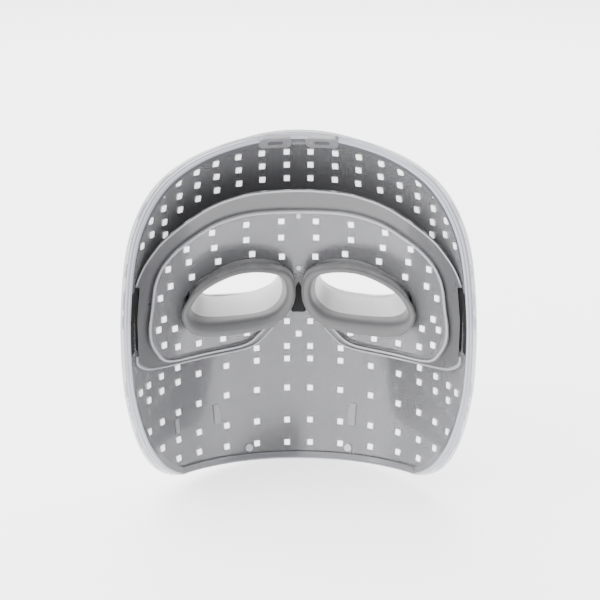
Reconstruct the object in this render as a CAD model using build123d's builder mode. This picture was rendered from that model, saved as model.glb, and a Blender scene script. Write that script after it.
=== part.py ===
from build123d import *
from math import sqrt, radians, cos
import os

# LED face mask, millimetres. +X is the wearer's right, +Y points away from the face,
# +Z is up. The origin lies midway between the two side strap slots.
# Heights h are measured from the pupils: z = h + EYE.
os.makedirs("parts", exist_ok=True)

EYE = -5.5                  # pupils below the strap slots
SECTION_RATIO = 1.15        # depth of a level section over its half-width
LENS_T = 1.2                # clear panels
LIGHT_GAP = 0.4             # air between a panel and the lights behind it
LIGHT = 3.0                 # side of one light package
LIGHT_T = 0.7
BOARD_T = 0.5
SHELL_T = 1.8               # outer shell wall
SIDE_WALL = 4.9             # whole wall at the temples
BOARD_AT = LENS_T + LIGHT_GAP + LIGHT_T
LEVELS = (-122, -100, -76, -52, -30, -10, 12, 34, 54, 72, 88, 104)
EYE_X = 32.0                # half the pupil distance


def half_width(h):
    return 85 - 4 * (h / 105.5) ** 2 if h < 0 else 85 - 10 * (h / 95) ** 3


def front_y(h):
    if h < -30:
        return 74.5 - 11.5 * ((-30 - h) / 75.5) ** 2
    return 74.5 - 25 * (max(h - 12, 0) / 83) ** 2


def centre_y(h):
    return front_y(h) - SECTION_RATIO * half_width(h)


def wall_depth(h):
    """Front-to-back thickness of the whole wall on the centre line."""
    if h < -10.5:
        return 6 + 11 * (1 - ((-10.5 - h) / 95) ** 2)
    return 5.2 + 11.8 * (1 - ((h + 10.5) / 100) ** 2)


def shield_y(x, h, off=0.0):
    b = SECTION_RATIO * half_width(h) + off
    return centre_y(h) + b * sqrt(max(1 - (x / (half_width(h) + off)) ** 2, 1e-4))


def brow_y0(h):
    return 49.5 - 12 * (max(h - 5, 0) / 55) ** 2


def brow_y(x, h, off=0.0):
    return brow_y0(h) - 82 + (82 + off) * sqrt(max(1 - (x / (87 + off)) ** 2, 1e-4))


def surface_plane(surface, x, h, off):
    """Plane on a curved surface, its normal pointing to the wearer."""
    d = 0.05
    sx = (surface(x + d, h, off) - surface(x - d, h, off)) / (2 * d)
    sh = (surface(x, h + d, off) - surface(x, h - d, off)) / (2 * d)
    return Plane(origin=(x, surface(x, h, off), h + EYE), x_dir=(1, sx, 0), z_dir=(sx, -1, sh))


def shield_body(side, depth):
    """Everything on the wearer's side of a shield surface: level ellipses, lofted."""
    with BuildPart() as body:
        for h in LEVELS:
            with BuildSketch(Plane((0, centre_y(h), h + EYE))):
                Ellipse(half_width(h) + side, SECTION_RATIO * half_width(h) + depth(h))
        loft()
    return body.part


def brow_body(off):
    with BuildPart() as body:
        for h in (-42, -20, 5, 20, 34, 46, 58, 70):
            with BuildSketch(Plane((0, brow_y0(h) - 82, h + EYE))):
                Ellipse(87 + off, 82 + off)
        loft()
    return body.part


def grow(points, d):
    """Moves each point of a counter-clockwise run outwards by d, square to the run."""
    out = []
    for i, (x, y) in enumerate(points):
        ax, ay = points[i - 1]
        bx, by = points[(i + 1) % len(points)]
        n = sqrt((bx - ax) ** 2 + (by - ay) ** 2)
        out.append((x + d * (by - ay) / n, y - d * (bx - ax) / n))
    return out


def mirrored(points):
    return [(-x, y) for x, y in reversed(points)]


# Side profile of the wearer's edge, (y, h) from the forehead down to the chin.
EDGE = ((54.3, 86.6), (48, 83), (40, 79.2), (32, 75), (24, 70.3), (16, 63.5), (9, 56), (2, 46.8),
        (-3.3, 36), (-7.5, 24), (-11, 13.5), (-13.5, 5), (-14.5, -8), (-13, -24), (-8.5, -37.5),
        (-0.5, -54.8), (8, -71), (17.5, -85), (25, -93), (31, -97.6))
CHIN_SLOPE = 0.17           # the chin edge is flat and rises towards the wearer
BROW_SLOPE = 1.2            # the top edge is cut square to the wall


def edge_solid(inset):
    """The space in front of the wearer's edge, moved forward by inset."""
    pts = []
    for i, (y, h) in enumerate(EDGE):
        ay, ah = EDGE[max(i - 1, 0)]
        by, bh = EDGE[min(i + 1, len(EDGE) - 1)]
        n = sqrt((by - ay) ** 2 + (bh - ah) ** 2)
        pts.append((y - inset * (bh - ah) / n, h + EYE + inset * (by - ay) / n))
    chin = (110, pts[-1][1] - CHIN_SLOPE * (110 - pts[-1][0]))
    top = (pts[0][0] + 22, pts[0][1] + 22 * BROW_SLOPE)
    with BuildPart() as solid:
        with BuildSketch(Plane.YZ):
            with BuildLine():
                edge = Spline(*pts)
                Polyline(edge @ 1, chin, (110, top[1]), top, edge @ 0)
            make_face()
        extrude(amount=110, both=True)
    return solid.part


def prism(points, y0, y1):
    """Closed smooth outline (x, h), extruded from y0 to y1."""
    with BuildPart() as body:
        with BuildSketch(Plane((0, y0, EYE), x_dir=(1, 0, 0), z_dir=(0, -1, 0))):
            with BuildLine():
                Spline(*points, periodic=True)
            make_face()
        extrude(amount=y0 - y1)
    return body.part


# Sight opening at the shell, and the rim and the opening of the eye cup, (x, h), right eye.
SIGHT = [(57, 1.5), (53, 9.5), (44, 13.5), (33, 15), (22, 14.5), (14, 10.5), (11.0, 4),
         (13, -4), (21, -9), (34, -10), (49.5, -7)]
CUP_RIM = [(61.2, -2), (56.5, 9), (46, 16.5), (31, 21), (16, 20.3), (5, 16.2), (1.6, 7),
           (4, -4), (14, -12.5), (34, -15.4), (54, -13.2)]
CUP_OPENING = [(57, -1.5), (52.6, 7.4), (43.8, 13.8), (31, 18.2), (18, 17.6), (9.4, 13.6), (7, 6),
               (9.5, -1.5), (17, -6.8), (34, -8.2), (51, -7)]
CUP_WALL = 2.0
CUP_SLOPE = 0.31            # the cup's rim runs back towards the temple
CUP_NOSE_Y = 39.9
CLEAR = 0.5

whole_edge = edge_solid(0)
panel_edge = edge_solid(3.3)
board_edge = edge_solid(3.5)
skin = shield_body(SIDE_WALL, wall_depth)
skin_inner = shield_body(SIDE_WALL - SHELL_T, lambda h: wall_depth(h) - SHELL_T)
face = shield_body(0, lambda h: 0)
lens_back = shield_body(LENS_T, lambda h: LENS_T)
board_front = shield_body(BOARD_AT, lambda h: BOARD_AT)
board_back = shield_body(BOARD_AT + BOARD_T, lambda h: BOARD_AT + BOARD_T)

sight_holes = [prism(p, 30, 110) for p in (SIGHT, mirrored(SIGHT))]
panel_holes = [prism(grow(p, CUP_WALL + 1.4), 30, 110) for p in (SIGHT, mirrored(SIGHT))]

# Side strap slots through the temple walls.
SLOT_L = 34.0
SLOT_W = 5.0
SLOT_Y = 0.0
LINER_T = 1.0


def slot_block(side, margin, x0=66, x1=110):
    with BuildPart() as block:
        with BuildSketch(Plane((side * x0, SLOT_Y, 0), x_dir=(0, 0, 1), z_dir=(side, 0, 0))):
            SlotOverall(SLOT_L + 2 * margin, SLOT_W + 2 * margin)
        extrude(amount=x1 - x0)
    return block.part


slot_cuts = [slot_block(s, LINER_T) for s in (1, -1)]

# Posts that carry the brow unit, and their screws, on the centre line.
POST_H = (46.6, 15.5)
POST_R = 2.6
MAIN_SCREW_X = 28.0
MAIN_SCREW_H = -95.7


def bars(heights, radius, y0, y1):
    with BuildPart() as rods:
        with BuildSketch(Plane((0, y0, EYE), x_dir=(1, 0, 0), z_dir=(0, -1, 0))):
            with Locations(*[(0, h) for h in heights]):
                Circle(radius)
        extrude(amount=y0 - y1)
    return rods.part


post_clear = bars(POST_H, POST_R + 0.3, 30, 110)

# Ribbon cable between the two light boards, behind the brow unit
RIBBON_H = 24.0
RIBBON_W = 6.0


def ribbon(y0, y1, grown=0.0):
    with BuildPart() as strip:
        with Locations((0, (y0 + y1) / 2, RIBBON_H + EYE)):
            Box(RIBBON_W + 2 * grown, y1 - y0, 0.3 + 2 * grown)
    return strip.part


ribbon_clear = ribbon(49.5, 76, 0.4)

# Sockets for the top strap's clips, set into the wall just under the top edge
SOCKET_X = 12.3
SOCKET_H = 83.9
SOCKET_W = 17.6
SOCKET_TALL = 7.0
SOCKET_PROUD = 0.8
SOCKET_DEEP = 2.4
SOCKET_SLOT = (8.3, 2.4)


def socket_body(side, grown=0.0, slot=False):
    seat = surface_plane(shield_y, side * SOCKET_X, SOCKET_H, 0)
    with BuildPart() as block:
        with BuildSketch(seat.offset(-SOCKET_DEEP - grown)):
            if slot:
                SlotOverall(*SOCKET_SLOT)
            else:
                RectangleRounded(SOCKET_W + 2 * grown, SOCKET_TALL + 2 * grown, 2.6 + grown)
        extrude(amount=SOCKET_DEEP + SOCKET_PROUD + grown)
    return block.part


socket_cuts = [socket_body(s, 0.05) for s in (1, -1)]

# Outer shell
BUTTON_H = -52.0
BUTTON_R = 4.5
PORT_H = -66.0
PORT_W = 8.9
PORT_T = 3.2
LIGHT_PIPE_H = -45.0
with BuildPart() as front_shell:
    add(skin)
    add(skin_inner, mode=Mode.SUBTRACT)
    add(whole_edge, mode=Mode.INTERSECT)
    for cut in sight_holes + slot_cuts:
        add(cut, mode=Mode.SUBTRACT)
    with BuildSketch(Plane((0, 75, EYE), x_dir=(-1, 0, 0), z_dir=(0, 1, 0))):
        with Locations((0, BUTTON_H)):
            Circle(BUTTON_R + 0.3)
        with Locations((0, LIGHT_PIPE_H)):
            Circle(1.0)
        with Locations((0, PORT_H)):
            SlotOverall(PORT_W + 0.4, PORT_T + 0.4)
    extrude(amount=35, mode=Mode.SUBTRACT)
front_shell.part.label = "front_shell"

# Rim that closes the wall between the shell and the clear panel
with BuildPart() as rim_bezel:
    add(skin_inner)
    add(face, mode=Mode.SUBTRACT)
    add(whole_edge, mode=Mode.INTERSECT)
    add(panel_edge, mode=Mode.SUBTRACT)
    for cut in slot_cuts + socket_cuts:
        add(cut, mode=Mode.SUBTRACT)
rim_bezel.part.label = "rim_bezel"

# Clear panel over the main lights
with BuildPart() as main_lens:
    add(lens_back)
    add(face, mode=Mode.SUBTRACT)
    add(panel_edge, mode=Mode.INTERSECT)
    for cut in panel_holes + slot_cuts + socket_cuts + [post_clear, ribbon_clear]:
        add(cut, mode=Mode.SUBTRACT)
main_lens.part.label = "main_lens"

# Main light board
with BuildPart() as main_light_board:
    add(board_back)
    add(board_front, mode=Mode.SUBTRACT)
    add(board_edge, mode=Mode.INTERSECT)
    for cut in panel_holes + slot_cuts + socket_cuts + [post_clear]:
        add(cut, mode=Mode.SUBTRACT)
    with Locations(*[surface_plane(shield_y, s * MAIN_SCREW_X, MAIN_SCREW_H, BOARD_AT) for s in (1, -1)]):
        Cylinder(1.2, 6, mode=Mode.SUBTRACT)
main_light_board.part.label = "main_light_board"

# Main lights: brow rows bend down towards the temples, cheek rows are level
BROW_COLUMNS = (6.3, 19.4, 31.7, 43.2, 52.9, 61.8, 69.4, 75.3, 79.6)
BROW_ROWS = ((77.2, 0, 7), (69.1, 0, 8), (60.8, 0, 9), (53.2, 6, 7))
BROW_DROP = 4.0e-5
CHEEK_COLUMNS = (6.5, 23.5, 40.2, 55.0, 65.5, 73.3, 79.0, 82.3)
CHEEK_ROWS = ((-24.4, 0, 1, 0), (-39.2, 0, 2, 0), (-38.4, 4, 8, 0), (-46.6, 0, 7, 0),
              (-63.6, 0, 7, 0), (-82.0, 0, 6, 0.08), (-94.6, 0, 5, 0.14))
NOSE_LIGHTS = (-13.4, -31.9)
light_at = BOARD_AT - LIGHT_T / 2 - 0.12
main_spots = [(0, h) for h in NOSE_LIGHTS]
for side in (1, -1):
    for h0, first, last in BROW_ROWS:
        main_spots += [(side * x, h0 - BROW_DROP * x**3) for x in BROW_COLUMNS[first:last]]
    for h0, first, last, rise in CHEEK_ROWS:
        main_spots += [(side * x, h0 + rise * x**2 / 100) for x in CHEEK_COLUMNS[first:last]]
with BuildPart() as main_leds:
    with Locations(*[surface_plane(shield_y, x, h, light_at) for x, h in main_spots]):
        Box(LIGHT, LIGHT, LIGHT_T)
main_leds.part.label = "main_leds"

# Driver chips and resistors on the main board, between the light rows
CHIPS = ((-45.5, -72.5, 3.6, 11.0), (30.0, -76.5, 4.2, 12.5), (-66.0, -71.0, 2.6, 8.0))
with BuildPart() as main_board_chips:
    for x, h, w, tall in CHIPS:
        with Locations(surface_plane(shield_y, x, h, BOARD_AT - 0.6)):
            Box(w, tall, 0.5)
main_board_chips.part.label = "main_board_chips"

with BuildPart() as main_board_screws:
    for side in (1, -1):
        seat = surface_plane(shield_y, side * MAIN_SCREW_X, MAIN_SCREW_H, BOARD_AT)
        with Locations(seat.offset(0.5)):
            Cylinder(2.1, 0.8)
        with Locations(seat.offset(-1.6)):
            Cylinder(1.0, 3.2)
main_board_screws.part.label = "main_board_screws"

# Brow unit: the frame round both eyes, open under the nose bridge
FRAME_HALF = ((0, 62.3), (12, 62), (25, 61.1), (35, 59), (44.7, 56), (54.4, 51.2), (64, 45.5),
              (70.4, 41), (75.2, 36), (78.8, 31.4), (81.4, 26.8), (82.6, 23.2))
NOTCH = ((80.7, 21.6), (81.6, 12), (82.3, 4), (82.8, -4), (83.0, -9.4))
FRAME_LOW = ((84.9, -10), (84.7, -13.5), (82.8, -20), (78.6, -25.6), (73.3, -28.2), (66.5, -29.7),
             (55.9, -30.7), (41.3, -30.8), (30, -30), (23.2, -27.8), (18.6, -24), (13.6, -18.4),
             (8.4, -12.6), (4.6, -7), (2.6, -1), (1.4, 5), (0, 7.6))
LENS_HALF = ((0, 50.3), (12, 50.4), (25, 50), (35, 48.4), (44.9, 45.5), (54.7, 40.4), (63, 35.4),
             (68.6, 30.3), (71.8, 25.8), (74.4, 18.6), (75.9, 7.6), (77.2, -2), (76.8, -10.5),
             (74.2, -18.4), (70.6, -24.6), (65, -27.4), (55.5, -28.4), (41.3, -28.5), (31, -27.8),
             (25, -25.6), (20.6, -21.8), (16, -17), (11, -11.8), (7.4, -6.6), (5.4, -1), (4, 5),
             (2.4, 9.6), (0, 11.4))


def split_outline(run, y0, y1, corners=()):
    """Outline symmetrical about x = 0, smooth between its corners, extruded along y."""
    with BuildPart() as body:
        with BuildSketch(Plane((0, y0, EYE), x_dir=(1, 0, 0), z_dir=(0, -1, 0))):
            with BuildLine() as half:
                for part in run:
                    Spline(*part) if len(part) > 2 else Line(*part)
                mirror(half.line, about=Plane.YZ)
            make_face()
        extrude(amount=y0 - y1)
    return body.part


frame_runs = (FRAME_HALF, (FRAME_HALF[-1], NOTCH[0]), NOTCH, (NOTCH[-1], FRAME_LOW[0]), FRAME_LOW)
frame_prism = split_outline(frame_runs, -60, 90)
lens_prism = split_outline((LENS_HALF,), -60, 90)
tunnel_holes = [prism(grow(p, CUP_WALL + 1.6), -30, 70)
                for q in (CUP_OPENING, SIGHT) for p in (q, mirrored(q))]
FRAME_AT = 2.2
FRAME_T = 3.2
BROW_BOARD_AT = 2.3
brow_face = brow_body(0)
brow_lens_back = brow_body(LENS_T)
brow_frame_face = brow_body(FRAME_AT)
brow_board_face = brow_body(BROW_BOARD_AT)
brow_board_back = brow_body(BROW_BOARD_AT + BOARD_T)
brow_back = brow_body(FRAME_AT + FRAME_T)


def inset_half(half, d):
    """Right half of a symmetrical outline, moved inwards by d."""
    full = [(-x, h) for x, h in half] + list(reversed(half))[1:-1]
    return [(-x, h) for x, h in grow(full, -d)[:len(half)]]


LENS_LIP = 1.8
lens_inner = split_outline((inset_half(LENS_HALF, LENS_LIP),), -60, 90)
pocket_prism = split_outline((inset_half(LENS_HALF, LENS_LIP - 0.2),), -60, 90)
board_prism = split_outline((inset_half(LENS_HALF, LENS_LIP + 0.1),), -60, 90)
frame_room = shield_body(-0.3, lambda h: -0.3)
screw_clear = bars(POST_H, 1.1, 30, 60)
head_clear = bars(POST_H, 1.55, 30, 60)

with BuildPart() as pocket:
    add(brow_board_back)
    add(pocket_prism, mode=Mode.INTERSECT)

with BuildPart() as brow_frame:
    add(brow_back)
    add(brow_frame_face, mode=Mode.SUBTRACT)
    add(frame_prism, mode=Mode.INTERSECT)
    add(frame_room, mode=Mode.INTERSECT)
    for cut in [pocket.part, screw_clear, ribbon_clear] + tunnel_holes:
        add(cut, mode=Mode.SUBTRACT)
brow_frame.part.label = "brow_frame"

# Clear cover of the brow unit: a panel with a thicker lip that stands on the frame
with BuildPart() as lip:
    add(brow_frame_face)
    add(brow_lens_back, mode=Mode.SUBTRACT)
    add(lens_prism, mode=Mode.INTERSECT)
    add(lens_inner, mode=Mode.SUBTRACT)
with BuildPart() as brow_lens:
    add(brow_lens_back)
    add(brow_face, mode=Mode.SUBTRACT)
    add(lens_prism, mode=Mode.INTERSECT)
    add(lip.part)
    for cut in tunnel_holes:
        add(cut, mode=Mode.SUBTRACT)
brow_lens.part.label = "brow_lens"

with BuildPart() as brow_light_board:
    add(brow_board_back)
    add(brow_board_face, mode=Mode.SUBTRACT)
    add(board_prism, mode=Mode.INTERSECT)
    for cut in [head_clear] + tunnel_holes:
        add(cut, mode=Mode.SUBTRACT)
brow_light_board.part.label = "brow_light_board"

# Lights of the brow unit: three arched rows over the eye, and a ring round its outer corner
BROW_SPOTS = ((9.1, 43.6), (27.5, 42.8), (45.2, 40.6), (58.2, 33.8), (67.4, 25.2),
              (9.3, 33.8), (27.7, 33.6), (44.3, 31.4), (57.3, 26.0), (66.6, 15.2), (71.6, 10.5),
              (8.9, 22.4), (24.7, 24.9), (42.5, 23.0), (56.0, 17.0),
              (70.2, -1.8), (72.8, -6.5), (65.0, -9.2), (70.4, -16.2), (63.8, -19.9),
              (53.3, -21.3), (40.7, -21.6), (28.0, -20.2))
brow_light_at = BROW_BOARD_AT - LIGHT_T / 2 - 0.12
with BuildPart() as brow_leds:
    with Locations(*[surface_plane(brow_y, s * x, h, brow_light_at) for s in (1, -1) for x, h in BROW_SPOTS]):
        Box(LIGHT, LIGHT, LIGHT_T)
brow_leds.part.label = "brow_leds"

# Posts from the brow unit through the main panel to the outer shell
with BuildPart() as brow_posts:
    add(bars(POST_H, POST_R, 30, 100))
    add(skin_inner, mode=Mode.INTERSECT)
    add(brow_back, mode=Mode.SUBTRACT)
    add(bars(POST_H, 0.9, 30, 66), mode=Mode.SUBTRACT)
brow_posts.part.label = "brow_posts"

with BuildPart() as brow_screws:
    for h in POST_H:
        top = brow_y(0, h, BROW_BOARD_AT)
        with Locations((0, top - 0.35, h + EYE)):
            Cylinder(1.3, 0.5, rotation=(90, 0, 0))
        with Locations((0, top + 4.0, h + EYE)):
            Cylinder(0.8, 8.6, rotation=(90, 0, 0))
brow_screws.part.label = "brow_screws"

with BuildPart() as ribbon_cable:
    add(ribbon(brow_y(0, RIBBON_H, BROW_BOARD_AT + BOARD_T) + 0.15,
               shield_y(0, RIBBON_H, BOARD_AT) - 0.2))
ribbon_cable.part.label = "ribbon_cable"

# Black bridge block between the brow unit and the main panel, over the nose
BRIDGE_LOW, BRIDGE_HIGH = -11.0, 12.4
BRIDGE_Y0, BRIDGE_Y1 = 55.1, 74.3
with BuildPart() as bridge_block:
    with BuildSketch(Plane.XY.offset(BRIDGE_LOW + EYE)):
        Polygon((-3.6, BRIDGE_Y0), (3.6, BRIDGE_Y0), (6.4, BRIDGE_Y1), (-6.4, BRIDGE_Y1), align=None)
    extrude(amount=BRIDGE_HIGH - BRIDGE_LOW)
    fillet(bridge_block.edges().filter_by(Axis.Z), 0.8)
bridge_block.part.label = "bridge_block"

# Clip sockets of the top strap
for side, name in ((1, "right"), (-1, "left")):
    with BuildPart() as strap_socket:
        add(socket_body(side))
        fillet(strap_socket.faces().filter_by(GeomType.PLANE).sort_by(Axis.Y)[0].edges(), 0.5)
        add(socket_body(side, 0.0, slot=True), mode=Mode.SUBTRACT)
    strap_socket.part.label = name + "_top_strap_socket"
    export_step(strap_socket.part, "parts/" + name + "_top_strap_socket.step")

# Black liners of the side strap slots
for side, name in ((1, "right"), (-1, "left")):
    with BuildPart() as slot_liner:
        add(skin)
        add(face, mode=Mode.SUBTRACT)
        add(slot_block(side, LINER_T), mode=Mode.INTERSECT)
        add(slot_block(side, 0), mode=Mode.SUBTRACT)
    slot_liner.part.label = name + "_slot_liner"
    export_step(slot_liner.part, "parts/" + name + "_slot_liner.step")

# Eye cups: a thick soft rim on the brow unit and a thin tunnel out to the shell
NEAR_Y, FAR_Y = 28.0, 78.0


def sight_solid(wall, y0, y1):
    """Tapered sight tunnel of the right eye, its outline moved outwards by wall."""
    with BuildPart() as body:
        for y in (y0, y1):
            t = (y - NEAR_Y) / (FAR_Y - NEAR_Y)
            ring = [(a + (c - a) * t, b + (d - b) * t) for (a, b), (c, d) in zip(CUP_OPENING, SIGHT)]
            with BuildSketch(Plane((0, y, EYE), x_dir=(1, 0, 0), z_dir=(0, -1, 0))):
                with BuildLine():
                    Spline(*grow(ring, wall), periodic=True)
                make_face()
        loft()
    return body.part


tunnel_room = shield_body(SIDE_WALL - SHELL_T - 0.4, lambda h: wall_depth(h) - SHELL_T - 0.4)
rim_room = brow_body(-0.3)
rim_plane = Plane((0, CUP_NOSE_Y, 0), x_dir=(1, -CUP_SLOPE, 0), z_dir=(CUP_SLOPE, 1, 0))
with BuildPart() as rim_solid:
    add(prism(CUP_RIM, 5, 70))
    split(bisect_by=rim_plane, keep=Keep.TOP)
    add(rim_room, mode=Mode.INTERSECT)
    near_face = rim_solid.faces().filter_by(GeomType.PLANE).sort_by(Axis.Y)[0]
    chamfer(near_face.edges(), 1.2)
with BuildPart() as right_eye_cup:
    add(sight_solid(CUP_WALL, 0, 100))
    split(bisect_by=rim_plane.offset(4), keep=Keep.TOP)
    add(tunnel_room, mode=Mode.INTERSECT)
    add(rim_solid.part)
    add(sight_solid(0, -2, 102), mode=Mode.SUBTRACT)
right_eye_cup.part.label = "right_eye_cup"
left_eye_cup = right_eye_cup.part.mirror(Plane.YZ)
left_eye_cup.label = "left_eye_cup"

# Battery, its holder, and the control board with its charging port and switch
CELL = (40.0, 6.0, 25.6)
CELL_Y = 80.9
CELL_H = -26.6
with BuildPart() as battery_cell:
    with Locations((0, CELL_Y, CELL_H + EYE)):
        Box(*CELL)
    fillet(battery_cell.edges().filter_by(Axis.Z), 1.2)
battery_cell.part.label = "battery_cell"

with BuildPart() as battery_holder:
    with Locations((0, CELL_Y - 1.2, CELL_H + EYE)):
        Box(CELL[0] + 2.4, 4.4, CELL[2] + 2.4)
        Box(CELL[0] + 0.3, 4.4, CELL[2] + 0.3, mode=Mode.SUBTRACT)
    with Locations((-8, CELL_Y, CELL_H - CELL[2] / 2 + EYE)):
        Box(8, 8, 6, mode=Mode.SUBTRACT)
battery_holder.part.label = "battery_holder"

BOARD_Y = 77.6
BOARD = (32.0, 1.0, 28.0)
BOARD_H = -58.0
CORNERS = [(sx * 13.6, BOARD_H + sz * 11.6) for sx in (1, -1) for sz in (1, -1)]
with BuildPart() as control_board:
    with Locations((0, BOARD_Y + BOARD[1] / 2, BOARD_H + EYE)):
        Box(*BOARD)
    with Locations(*[(x, BOARD_Y + 0.5, h + EYE) for x, h in CORNERS]):
        Cylinder(0.95, 3, rotation=(90, 0, 0), mode=Mode.SUBTRACT)
control_board.part.label = "control_board"
parts_y = BOARD_Y + BOARD[1]

with BuildPart() as control_chips:
    for x, h, w, tall, t in ((-9, -60, 7, 7, 1.0), (9.5, -58, 4, 4, 0.9), (9.5, -52, 4, 4, 1.8),
                             (-9, -52, 3, 2, 0.8), (9, -64, 3, 2, 0.8)):
        with Locations((x, parts_y + t / 2, h + EYE)):
            Box(w, t, tall)
control_chips.part.label = "control_chips"

with BuildPart() as control_posts:
    with BuildSketch(Plane((0, parts_y, EYE), x_dir=(1, 0, 0), z_dir=(0, -1, 0))):
        with Locations(*CORNERS):
            Circle(2.0)
            Circle(0.9, mode=Mode.SUBTRACT)
    extrude(amount=-20)
    add(skin_inner, mode=Mode.INTERSECT)
control_posts.part.label = "control_posts"

with BuildPart() as control_screws:
    with Locations(*[(x, BOARD_Y - 0.2, h + EYE) for x, h in CORNERS]):
        Cylinder(1.6, 0.4, rotation=(90, 0, 0))
    with Locations(*[(x, BOARD_Y + 1.4, h + EYE) for x, h in CORNERS]):
        Cylinder(0.75, 3.0, rotation=(90, 0, 0))
control_screws.part.label = "control_screws"

LEAD_X = (-9.5, -6.5)
with BuildPart() as battery_leads:
    with Locations(*[(x, parts_y + 0.75, -43.2 + EYE) for x in LEAD_X]):
        Cylinder(0.6, 7.0)
battery_leads.part.label = "battery_leads"

with BuildPart() as board_connector:
    with Locations((0, BOARD_Y - 0.45, -50 + EYE)):
        Box(12, 0.9, 3)
board_connector.part.label = "board_connector"

PORT_Y1 = shield_y(0, PORT_H) + wall_depth(PORT_H) - 0.4
with BuildPart() as usb_c_port:
    with BuildSketch(Plane((0, parts_y, PORT_H + EYE), x_dir=(-1, 0, 0), z_dir=(0, 1, 0))):
        SlotOverall(PORT_W, PORT_T)
    extrude(amount=PORT_Y1 - parts_y)
    with BuildSketch(Plane((0, parts_y + 1, PORT_H + EYE), x_dir=(-1, 0, 0), z_dir=(0, 1, 0))):
        SlotOverall(PORT_W - 0.6, PORT_T - 0.6)
    extrude(amount=20, mode=Mode.SUBTRACT)
    with Locations((0, (parts_y + PORT_Y1) / 2 - 0.3, PORT_H + EYE)):
        Box(6.7, PORT_Y1 - parts_y - 1.6, 0.7)
usb_c_port.part.label = "usb_c_port"

SWITCH_T = 2.8
with BuildPart() as button_switch:
    with Locations((0, parts_y + SWITCH_T / 2, BUTTON_H + EYE)):
        Box(6, SWITCH_T, 6)
    with Locations((0, parts_y + SWITCH_T + 0.3, BUTTON_H + EYE)):
        Cylinder(1.6, 0.6, rotation=(90, 0, 0))
button_switch.part.label = "button_switch"

# Round power button, pressed towards the face; its flange stays behind the shell
BUTTON_Y1 = shield_y(0, BUTTON_H) + wall_depth(BUTTON_H) + 0.5
FLANGE_Y = shield_y(0, BUTTON_H) + wall_depth(BUTTON_H) - SHELL_T - 1.9
with BuildPart() as power_button:
    with BuildSketch(Plane((0, parts_y + SWITCH_T + 1.6, BUTTON_H + EYE), x_dir=(-1, 0, 0), z_dir=(0, 1, 0))):
        Circle(BUTTON_R)
    extrude(amount=BUTTON_Y1 - parts_y - SWITCH_T - 1.6)
    fillet(power_button.edges().sort_by(Axis.Y)[-1], 0.6)
    with BuildSketch(Plane((0, FLANGE_Y - 0.8, BUTTON_H + EYE), x_dir=(-1, 0, 0), z_dir=(0, 1, 0))):
        Circle(BUTTON_R + 1.1)
    extrude(amount=0.8)
power_button.part.label = "power_button"

with BuildPart() as status_light_pipe:
    with BuildSketch(Plane((0, parts_y, LIGHT_PIPE_H + EYE), x_dir=(-1, 0, 0), z_dir=(0, 1, 0))):
        Circle(0.95)
    extrude(amount=shield_y(0, LIGHT_PIPE_H) + wall_depth(LIGHT_PIPE_H) - 0.2 - parts_y)
status_light_pipe.part.label = "status_light_pipe"

for finished in (front_shell, rim_bezel, main_lens, main_light_board, main_leds, main_board_chips,
                 main_board_screws, brow_frame, brow_lens, brow_light_board, brow_leds, brow_posts,
                 brow_screws, ribbon_cable, bridge_block, right_eye_cup, battery_cell,
                 battery_holder, control_board, control_chips, control_posts, control_screws,
                 battery_leads, board_connector, usb_c_port, button_switch, power_button,
                 status_light_pipe):
    export_step(finished.part, "parts/" + finished.part.label + ".step")
export_step(left_eye_cup, "parts/left_eye_cup.step")
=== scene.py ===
from math import cos, pi, radians, sin, sqrt

import bmesh
import bpy
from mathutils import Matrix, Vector


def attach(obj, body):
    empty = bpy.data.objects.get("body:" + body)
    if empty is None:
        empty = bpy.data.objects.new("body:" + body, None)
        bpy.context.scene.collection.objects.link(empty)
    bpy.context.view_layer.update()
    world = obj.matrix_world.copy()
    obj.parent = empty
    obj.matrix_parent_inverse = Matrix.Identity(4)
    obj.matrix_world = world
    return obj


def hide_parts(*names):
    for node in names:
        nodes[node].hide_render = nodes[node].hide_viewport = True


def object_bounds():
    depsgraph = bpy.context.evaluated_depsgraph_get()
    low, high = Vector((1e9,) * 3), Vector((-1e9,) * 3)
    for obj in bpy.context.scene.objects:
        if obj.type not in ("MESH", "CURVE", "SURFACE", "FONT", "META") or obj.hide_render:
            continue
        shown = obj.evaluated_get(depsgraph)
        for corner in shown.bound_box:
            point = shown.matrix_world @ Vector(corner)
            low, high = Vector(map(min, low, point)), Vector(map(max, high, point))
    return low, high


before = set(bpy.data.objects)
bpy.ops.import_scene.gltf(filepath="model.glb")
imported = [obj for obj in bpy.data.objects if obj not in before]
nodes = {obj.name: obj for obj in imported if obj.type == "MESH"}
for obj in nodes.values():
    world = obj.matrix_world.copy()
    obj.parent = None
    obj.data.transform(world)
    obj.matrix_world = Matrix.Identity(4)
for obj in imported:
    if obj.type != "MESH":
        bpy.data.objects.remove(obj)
cad_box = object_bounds()


# --- Outer shell -----------------------------------------------------------
# Injection-moulded pearl white plastic, one wall 1.8 mm thick, glossy outside.
# It carries everything else; the rim below is welded into its edge.
class Sock:
    """A shader socket that takes part in Python arithmetic."""

    def __init__(self, tree, out):
        self.tree, self.out = tree, out

    def maths(self, op, *values):
        node = self.tree.nodes.new("ShaderNodeMath")
        node.operation = op
        for slot, value in zip(node.inputs, values):
            if isinstance(value, Sock):
                self.tree.links.new(value.out, slot)
            else:
                slot.default_value = value
        return Sock(self.tree, node.outputs[0])

    def __add__(self, other):
        return self.maths("ADD", self, other)

    def __mul__(self, other):
        return self.maths("MULTIPLY", self, other)

    __radd__ = __add__
    __rmul__ = __mul__


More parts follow.
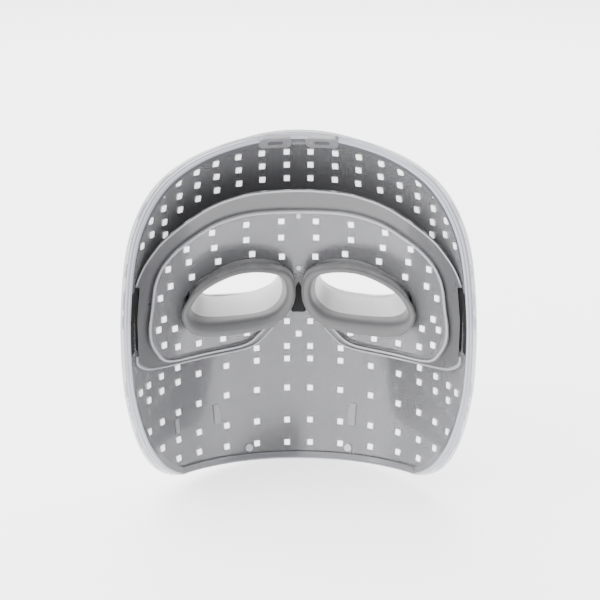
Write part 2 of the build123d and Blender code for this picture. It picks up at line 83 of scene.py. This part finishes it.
class Finish:
    """A Principled material; node() adds any other node and gives back its output."""

    def __init__(self, name, color=(0.8, 0.8, 0.8), rough=0.4, **sockets):
        self.mat = bpy.data.materials.new(name)
        self.mat.use_nodes = True
        self.tree = self.mat.node_tree
        self.bsdf = self.tree.nodes["Principled BSDF"]
        self.bsdf.inputs["Base Color"].default_value = (*color, 1)
        self.bsdf.inputs["Roughness"].default_value = rough
        for key, value in sockets.items():
            self.bsdf.inputs[key.replace("_", " ")].default_value = value

    def node(self, kind, inputs=None, out=0, **props):
        node = self.tree.nodes.new(kind)
        for key, value in props.items():
            setattr(node, key, value)
        for key, value in (inputs or {}).items():
            if isinstance(value, Sock):
                self.tree.links.new(value.out, node.inputs[key])
            else:
                node.inputs[key].default_value = value
        return Sock(self.tree, node.outputs[out])

    def place(self):
        return self.node("ShaderNodeTexCoord", out=3)

    def noise(self, scale, detail=3.0):
        return self.node("ShaderNodeTexNoise", {"Vector": self.place(), "Scale": scale, "Detail": detail})

    def drive(self, socket, value):
        self.tree.links.new(value.out, self.bsdf.inputs[socket])

    def bump(self, height, strength, distance):
        self.drive("Normal", self.node("ShaderNodeBump", {"Height": height, "Strength": strength,
                                                          "Distance": distance}))


def dress(name, finish):
    """Puts one finish on every slot of a CAD node."""
    obj = nodes[name]
    obj.data.materials.clear()
    obj.data.materials.append(finish.mat)
    return obj


pearl = Finish("pearl_shell", (0.46, 0.46, 0.48), 0.2, Coat_Weight=0.5, Coat_Roughness=0.08)
pearl.drive("Roughness", 0.18 + 0.1 * pearl.noise(60.0))
pearl.bump(pearl.noise(900.0), 0.05, 0.0002)
dress("front_shell", pearl)

# --- Rim -------------------------------------------------------------------
# Cool grey-white moulded band welded over the shell's edge, rounded, with two fine
# grooves where the shell and the inner panel meet it. Its inner side is grey.
EYE = -5.5                # height of the pupils in the frame, mm
WALL = 4.9                # depth of the wall at the edge, face side to outside


def half_width(h):
    return 85 - 4 * (h / 105.5) ** 2 if h < 0 else 85 - 10 * (h / 95) ** 3


def front_y(h):
    return 74.5 - (11.5 * ((-30 - h) / 75.5) ** 2 if h < -30 else 25 * (max(h - 12, 0) / 83) ** 2)


def wall_depth(h):
    if h < -10.5:
        return 6 + 11 * (1 - ((-10.5 - h) / 95) ** 2)
    return 5.2 + 11.8 * (1 - ((h + 10.5) / 100) ** 2)


def shell_x(y, h, off):
    """Half-width of the wall at depth y; off runs from 0, the face side, to WALL, the outside."""
    b = 1.15 * half_width(h)
    room = 1 - ((y - front_y(h) + b) / (b + off * wall_depth(h) / WALL)) ** 2
    return (half_width(h) + off) * sqrt(room) if room > 0 else -1


def smooth(points, steps, closed=True):
    """Points along a Catmull-Rom curve through the given ones."""
    out, n = [], len(points)
    for i in range(n if closed else n - 1):
        p = [Vector(points[(i + k) % n if closed else min(max(i + k, 0), n - 1)]) for k in (-1, 0, 1, 2)]
        for j in range(steps):
            t = j / steps
            out.append(0.5 * (2 * p[1] + (p[2] - p[0]) * t + (2 * p[0] - 5 * p[1] + 4 * p[2] - p[3]) * t ** 2
                              + (3 * p[1] - p[0] - 3 * p[2] + p[3]) * t ** 3))
    return out if closed else out + [Vector(points[-1])]


EDGE = ((54.3, 86.6), (48, 83), (40, 79.2), (32, 75), (24, 70.3), (16, 63.5), (9, 56), (2, 46.8),
        (-3.3, 36), (-7.5, 24), (-11, 13.5), (-13.5, 5), (-14.5, -8), (-13, -24), (-8.5, -37.5),
        (-0.5, -54.8), (8, -71), (17.5, -85), (25, -93), (31, -97.6))
side_line = [Vector((54.3 + 14, 86.6 + 16.8)), Vector((54.3 + 5, 86.6 + 6))] + smooth(EDGE, 6, False) \
    + [Vector((31 + d, -97.6 - 0.17 * d)) for d in (6, 14, 24, 36, 50)]


def edge_point(t, inset):
    """A point of the side profile, t counted along its points, moved forward by inset."""
    i = min(int(t), len(side_line) - 2)
    p = side_line[i].lerp(side_line[i + 1], t - i)
    before, after = side_line[max(i - 1, 0)], side_line[min(i + 2, len(side_line) - 1)]
    run = (after - before).normalized()
    return p.x - inset * run.y, p.y + inset * run.x


def rim_row(off, inset, count):
    """Points from the top centre to the chin centre along the wall at that offset and inset."""
    def inside(t):
        return shell_x(*edge_point(t, inset), off) > 0
    ends = []
    for low, high in ((0.0, 30.0), (len(side_line) - 1.001, 80.0)):
        for _ in range(40):
            mid = (low + high) / 2
            low, high = (low, mid) if inside(mid) else (mid, high)
        ends.append(high)
    row = []
    for k in range(count + 1):
        t = ends[0] + (ends[1] - ends[0]) * (1 - cos(pi * k / count)) / 2
        y, h = edge_point(t, inset)
        x = 0 if k in (0, count) else max(shell_x(y, h, off), 0)
        row.append((x, y, h + EYE))
    return row


def mm(points):
    return [Vector(p) / 1000 for p in points]


def skin_rows(name, rows, finishes, pick=None, closed=False, mirror=True):
    """A smooth surface through rows of points in mm, mirrored in x; pick gives a face's material."""
    bm = bmesh.new()
    for side in ((1, -1) if mirror else (1,)):
        grid = [[bm.verts.new((p.x * side, p.y, p.z)) for p in mm(row)] for row in rows]
        for i in range(len(grid) - 1):
            n = len(grid[i])
            for j in range(n if closed else n - 1):
                k = (j + 1) % n
                quad = [grid[i][j], grid[i][k], grid[i + 1][k], grid[i + 1][j]]
                face = bm.faces.new(quad[::side])
                face.smooth = True
                face.material_index = pick(i) if pick else 0
    bmesh.ops.remove_doubles(bm, verts=bm.verts, dist=1e-6)
    bmesh.ops.recalc_face_normals(bm, faces=bm.faces)
    mesh = bpy.data.meshes.new(name)
    bm.to_mesh(mesh)
    bm.free()
    for finish in finishes:
        mesh.materials.append(finish.mat)
    piece = bpy.data.objects.new(name, mesh)
    bpy.context.scene.collection.objects.link(piece)
    return piece


RIM_PROFILE = ((0.0, 4.2), (0.0, 2.0), (-0.05, 0.9), (0.05, 0.4), (0.4, 0.12), (0.9, 0.05), (1.25, 0.12),
               (1.4, 0.55), (1.55, 0.12), (2.0, 0.0), (2.9, 0.0), (3.0, 0.45), (3.12, 0.0), (4.1, 0.02),
               (4.6, 0.2), (4.85, 0.6), (4.93, 1.4), (4.94, 3.0))
rim = Finish("rim", (0.27, 0.28, 0.32), 0.12, Coat_Weight=0.7, Coat_Roughness=0.05)
rim.drive("Roughness", 0.12 + 0.1 * rim.noise(90.0))
rim.bump(rim.noise(700.0), 0.04, 0.0002)
margin = Finish("panel_margin", (0.09, 0.09, 0.10), 0.22, Coat_Weight=0.6, Coat_Roughness=0.08)
margin.drive("Roughness", 0.18 + 0.1 * margin.noise(150.0))
rim_band = skin_rows("rim_band", [rim_row(o, i, 160) for o, i in RIM_PROFILE], [rim, margin],
                     lambda i: 1 if i < 2 else 0)
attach(rim_band, "mask")
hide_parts("rim_bezel")

# --- Main light board and its parts -----------------------------------------
# One flexible grey circuit behind a clear panel, curved like the face side, with
# rows of 3 mm white lights, a few driver chips and two screws at the chin.
board = Finish("main_board", (0.115, 0.115, 0.12), 0.16, Metallic=0.92)
stretched = board.node("ShaderNodeMapping", {"Vector": board.place(), "Scale": (1.0, 0.02, 0.02)})
streak = board.node("ShaderNodeTexNoise", {"Vector": stretched, "Scale": 260.0, "Detail": 4.0})
board.drive("Roughness", 0.12 + 0.12 * streak)
board.bump(streak, 0.12, 0.0003)
dress("main_light_board", board)
dress("brow_light_board", board)
lamp = Finish("light_package", (0.95, 0.95, 0.95), 0.4,
              Emission_Color=(1, 1, 1, 1), Emission_Strength=2.2)
lamp.drive("Roughness", 0.32 + 0.16 * lamp.noise(600.0))
dress("main_leds", lamp)
dress("brow_leds", lamp)
chip = Finish("chip", (0.24, 0.24, 0.25), 0.4)
chip.drive("Roughness", 0.3 + 0.2 * chip.noise(400.0))
dress("main_board_chips", chip)
steel = Finish("screw_steel", (0.45, 0.45, 0.46), 0.3, Metallic=0.9)
steel.drive("Roughness", 0.25 + 0.15 * steel.noise(500.0))
dress("main_board_screws", steel)
dress("brow_screws", steel)

# --- Clear panels ------------------------------------------------------------
# Thermoformed clear covers; their gloss carries the long vertical reflections.
clear = Finish("clear_panel", (0.42, 0.42, 0.44), 0.05, Alpha=0.16)
clear.drive("Roughness", 0.04 + 0.04 * clear.noise(70.0))
clear.drive("Alpha", 0.07 + 0.22 * clear.node("ShaderNodeLayerWeight", {"Blend": 0.35}, out=1))
dress("main_lens", clear)
dress("brow_lens", clear)

# --- Brow unit ---------------------------------------------------------------
# A silver-grey moulded frame round both eyes, with a thin raised bead on its edge
# and a clear cover whose narrow bevelled lip stands on the frame; bead and lip are painted paler as a
# highlight.
grey = Finish("brow_frame", (0.07, 0.07, 0.074), 0.2, Coat_Weight=0.4, Coat_Roughness=0.1)
grey.drive("Roughness", 0.24 + 0.12 * grey.noise(120.0))
dress("brow_frame", grey)


def brow_y(x, h, off=0.0):
    middle = 49.5 - 12 * (max(h - 5, 0) / 55) ** 2 - 82
    return middle + (82 + off) * sqrt(max(1 - (x / (87 + off)) ** 2, 1e-4))


def trim(name, half, profile, finish, steps=5):
    """A strip along a symmetrical outline on the brow surface; profile is (inset, offset) in mm."""
    line = smooth(half, steps, False)
    normals = []
    for i, p in enumerate(line):
        run = line[min(i + 1, len(line) - 1)] - line[max(i - 1, 0)]
        normals.append(Vector((-run.y, run.x)).normalized() * -1)
    rows = []
    for inset, off in profile:
        row = []
        for i, (p, n) in enumerate(zip(line, normals)):
            x, h = p.x + n.x * inset, p.y + n.y * inset
            if i in (0, len(line) - 1):
                x = p.x
            row.append((x, brow_y(x, h, off), h + EYE))
        rows.append(row)
    piece = skin_rows(name, rows, [finish])
    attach(piece, "mask")
    return piece


FRAME_TOP = ((0, 62.3), (12, 62), (25, 61.1), (35, 59), (44.7, 56), (54.4, 51.2), (64, 45.5),
             (70.4, 41), (75.2, 36), (78.8, 31.4), (81.2, 26.8), (82.3, 23.6))
FRAME_LOW = ((83.2, -14.5), (82.6, -20), (78.6, -25.6), (73.3, -28.2), (66.5, -29.7),
             (55.9, -30.7), (41.3, -30.8), (30, -30), (23.2, -27.8), (18.6, -24), (13.6, -18.4))
LENS_HALF = ((0, 50.3), (12, 50.4), (25, 50), (35, 48.4), (44.9, 45.5), (54.7, 40.4), (63, 35.4),
             (68.6, 30.3), (71.8, 25.8), (74.4, 18.6), (75.9, 7.6), (77.2, -2), (76.8, -10.5),
             (74.2, -18.4), (70.6, -24.6), (65, -27.4), (55.5, -28.4), (41.3, -28.5), (31, -27.8),
             (25, -25.6), (20.6, -21.8), (16, -17))
# Bead and cover lip take a paler colour than the frame: painted highlight of light caught on their edges.
painted_highlight = Finish("painted_highlight_edge", (0.27, 0.27, 0.29), 0.1, Coat_Weight=0.8, Coat_Roughness=0.04)
painted_highlight.drive("Roughness", 0.1 + 0.06 * painted_highlight.noise(200.0))
BEAD = ((-0.05, 3.2), (-0.05, 2.0), (0.15, 1.75), (0.5, 1.7), (0.8, 1.85), (0.95, 2.25))
trim("frame_bead_top", FRAME_TOP, BEAD, painted_highlight)
trim("frame_bead_low", FRAME_LOW, BEAD, painted_highlight)
LIP = ((-0.1, 2.25), (0.05, 1.2), (0.3, 0.45), (0.6, 0.05), (0.95, -0.12), (1.3, -0.12), (1.5, -0.02))
trim("cover_lip", LENS_HALF, LIP, painted_highlight)

# --- Eye cups ----------------------------------------------------------------
# Soft grey silicone, one piece each: a thick rounded rim that rests on the brow
# unit, sloping into a thin-walled tunnel that runs out to the shell. Rim and tunnel take dark and pale
# copies of one silicone: painted shade on the rim, painted light in the tunnel.
SIGHT = ((57, 1.5), (53, 9.5), (44, 13.5), (33, 15), (22, 14.5), (14, 10.5), (11.0, 4),
         (13, -4), (21, -9), (34, -10), (49.5, -7))
CUP_RIM = ((61.2, -2), (56.5, 9), (46, 16.5), (31, 21), (16, 20.3), (5, 16.2), (1.6, 7),
           (4, -4), (14, -12.5), (34, -15.4), (54, -13.2))
CUP_OPENING = ((57, -1.5), (52.6, 7.4), (43.8, 13.8), (31, 18.2), (18, 17.6), (9.4, 13.6), (7, 6),
               (9.5, -1.5), (17, -6.8), (34, -8.2), (51, -7))
rim_line, open_line, far_line = (smooth(c, 12) for c in (CUP_RIM, CUP_OPENING, SIGHT))


def out_by(line, d):
    grown = []
    for i, p in enumerate(line):
        run = (line[(i + 1) % len(line)] - line[i - 1]).normalized()
        grown.append(p + Vector((run.y, -run.x)) * d)
    return grown


def lip_y(x):
    return 39.9 - 0.31 * x


cup_rows = []
for back, shift in ((4.0, -0.3), (1.8, 0.0), (0.8, -0.3), (0.25, -0.8), (0.02, -1.5)):
    cup_rows.append([(p.x, lip_y(p.x) + back, p.y + EYE) for p in out_by(rim_line, shift)])
base = out_by(rim_line, -0.6)
cup_rows.insert(0, [(p.x, max(brow_y(p.x, p.y, -0.35), lip_y(p.x) + 4.5), p.y + EYE) for p in base])
edge_in = out_by(rim_line, -1.5)
for share, back in ((0.25, 0.05), (0.5, 0.5), (0.72, 1.5), (0.88, 3.0), (0.97, 5.0), (1.0, 7.5)):
    cup_rows.append([(p.x, lip_y(p.x) + back, p.y + EYE) for p in
                     (a.lerp(b, share) for a, b in zip(edge_in, open_line))])


def tunnel_row(y_of, wall):
    row = []
    for a, b in zip(out_by(open_line, wall), out_by(far_line, wall)):
        y = y_of(a.lerp(b, 0.7))
        p = a.lerp(b, min(max((y - 28) / 50, 0), 1.05))
        row.append((p.x, y, p.y + EYE))
    return row


def shell_inner_y(p):
    b = 1.15 * half_width(p.y)
    grown = wall_depth(p.y) - 2.3
    return front_y(p.y) - b + (b + grown) * sqrt(1 - (p.x / (half_width(p.y) + 2.6)) ** 2)


for share in (0.15, 0.35, 0.6, 0.85, 1.0):
    cup_rows.append(tunnel_row(lambda p: (lip_y(p.x) + 7.5) * (1 - share) + shell_inner_y(p) * share, 0))
for share in (1.0, 0.5, 0.12):
    cup_rows.append(tunnel_row(lambda p: (lip_y(p.x) + 7.5) * (1 - share) + shell_inner_y(p) * share, 2.0))
silicone = Finish("silicone", (0.075, 0.075, 0.078), 0.44, Sheen_Weight=0.3, Sheen_Roughness=0.4)
silicone.drive("Roughness", 0.42 + 0.16 * silicone.noise(300.0))
silicone.bump(silicone.noise(1800.0, 2.0), 0.15, 0.0001)
# Pale copy of the silicone for the tunnel: painted light, standing in for light from above falling on and
# through its thin wall.
lit_silicone = Finish("tunnel_silicone_painted_light", (0.50, 0.50, 0.51), 0.4, Sheen_Weight=0.2, Sheen_Roughness=0.4)
lit_silicone.drive("Roughness", 0.34 + 0.14 * lit_silicone.noise(300.0))
lit_silicone.bump(lit_silicone.noise(1800.0, 2.0), 0.1, 0.0001)
TUNNEL_FROM = 12          # first strip of the cup that is tunnel
for side, name in ((1, "right"), (-1, "left")):
    cup = skin_rows(name + "_cup", [[(x * side, y, z) for x, y, z in row] for row in cup_rows],
                    [silicone, lit_silicone], lambda i: int(i >= TUNNEL_FROM), closed=True, mirror=False)
    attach(cup, name + "_cup")
    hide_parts(name + "_eye_cup")

# --- Black parts ---------------------------------------------------------------
# Matt black block over the nose, strap slot liners, and a black plate beside each slot that is painted
# shade: it widens the slot's dark bar.
black = Finish("black_plastic", (0.006, 0.006, 0.0065), 0.6, Specular_IOR_Level=0.2)
black.drive("Roughness", 0.52 + 0.2 * black.noise(300.0))
# bridge_block is a black bracket over the nose; its black also stands in for the shade in the narrow gap
# between the cups, so it is partly painted shade.
for name in ("bridge_block", "right_slot_liner", "left_slot_liner", "brow_posts", "ribbon_cable"):
    dress(name, black)
# Black plates laid on the wall beside each slot: painted shade that widens the slot's dark bar.
slot_shade_rows = []
for d in (1.2, 3.5, 6.0, 8.5):
    row = []
    for k in range(13):
        h = 21 - 31 * k / 12
        t = min(range(12, len(side_line) - 10), key=lambda i: abs(side_line[i].y - h))
        y = side_line[t].x + d
        row.append((shell_x(y, h, 0) - 0.12, y, h + EYE))
    slot_shade_rows.append(row)
slot_shade_plate = skin_rows("slot_shade_plates", slot_shade_rows, [black])
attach(slot_shade_plate, "mask")

# --- Strap sockets ------------------------------------------------------------
# Satin grey sockets under the top edge, each with an obround slot for a clip.
socket = Finish("socket", (0.17, 0.17, 0.18), 0.22, Coat_Weight=0.4)
socket.drive("Roughness", 0.2 + 0.12 * socket.noise(200.0))
for name in ("right_top_strap_socket", "left_top_strap_socket"):
    dress(name, socket)

# --- Inside the wall ------------------------------------------------------------
# Battery, control board and port behind the chin, and the button on the front.
pcb = Finish("circuit_green", (0.03, 0.17, 0.08), 0.4, Coat_Weight=0.3)
pcb.drive("Roughness", 0.32 + 0.2 * pcb.noise(500.0))
dress("control_board", pcb)
foil = Finish("cell_foil", (0.55, 0.56, 0.58), 0.3, Metallic=0.8)
foil.drive("Roughness", 0.25 + 0.2 * foil.noise(120.0))
dress("battery_cell", foil)
red = Finish("lead_red", (0.4, 0.02, 0.02), 0.4)
red.drive("Roughness", 0.35 + 0.1 * red.noise(300.0))
dress("battery_leads", red)
for name in ("battery_holder", "control_chips", "control_posts", "board_connector", "button_switch"):
    dress(name, black)
dress("control_screws", steel)
dress("usb_c_port", steel)
dress("status_light_pipe", clear)
dress("power_button", rim)

# --- Stage -------------------------------------------------------------------
# A pale floor, and a white studio that is brighter on the left than on the right.
floor_z = cad_box[0][2] - 0.0005
mesh = bpy.data.meshes.new("floor")
corners = [(-6, -6, floor_z), (6, -6, floor_z), (6, 10, floor_z), (-6, 10, floor_z)]
mesh.from_pydata(corners, [], [(0, 1, 2, 3)])
floor = bpy.data.objects.new("floor", mesh)
bpy.context.scene.collection.objects.link(floor)
paper = Finish("floor", (0.95, 0.95, 0.95), 0.9,
               Emission_Color=(1, 1, 1, 1), Emission_Strength=1.6)
mesh.materials.append(paper.mat)

world = bpy.data.worlds.new("studio")
bpy.context.scene.world = world
world.use_nodes = True
world.node_tree.nodes["Background"].inputs["Color"].default_value = (1, 1, 1, 1)
tree = world.node_tree
way = tree.nodes.new("ShaderNodeTexCoord")
axes = tree.nodes.new("ShaderNodeSeparateXYZ")
studio = tree.nodes.new("ShaderNodeMapRange")
studio.interpolation_type = "SMOOTHSTEP"
LEFT_LIGHT, RIGHT_LIGHT = 4.4, 1.0
for key, value in (("From Min", -0.13), ("From Max", 0.06), ("To Min", LEFT_LIGHT), ("To Max", RIGHT_LIGHT)):
    studio.inputs[key].default_value = value
tree.links.new(way.outputs["Generated"], axes.inputs["Vector"])
tree.links.new(axes.outputs["X"], studio.inputs["Value"])
tree.links.new(studio.outputs["Result"], tree.nodes["Background"].inputs["Strength"])


def softbox(name, place, aim, size, power):
    data = bpy.data.lights.new(name, "AREA")
    data.shape = "RECTANGLE"
    data.size, data.size_y = size
    data.energy = power
    lamp_obj = bpy.data.objects.new(name, data)
    bpy.context.scene.collection.objects.link(lamp_obj)
    lamp_obj.location = place
    lamp_obj.rotation_euler = (Vector(aim) - Vector(place)).to_track_quat("-Z", "Y").to_euler()


softbox("top", (0.2, 0.3, 1.4), (0, 0.03, 0), (1.2, 1.0), 14)
softbox("left", (-1.2, -0.5, 0.5), (0, 0.03, 0), (0.3, 1.4), 8)
softbox("front", (0, 1.3, 0.7), (0, 0.06, 0), (1.0, 0.6), 10)

cam_data = bpy.data.cameras.new("camera")
cam_data.lens = 100.9
cam_data.sensor_width = 36
cam_data.shift_x = 0.0023
camera = bpy.data.objects.new("camera", cam_data)
bpy.context.scene.collection.objects.link(camera)
tilt, away = radians(20), 0.9
camera.location = (0, 0.0435 - away * cos(tilt), -0.0055 + away * sin(tilt))
camera.rotation_euler = (pi / 2 - tilt, 0, 0)
bpy.context.scene.camera = camera
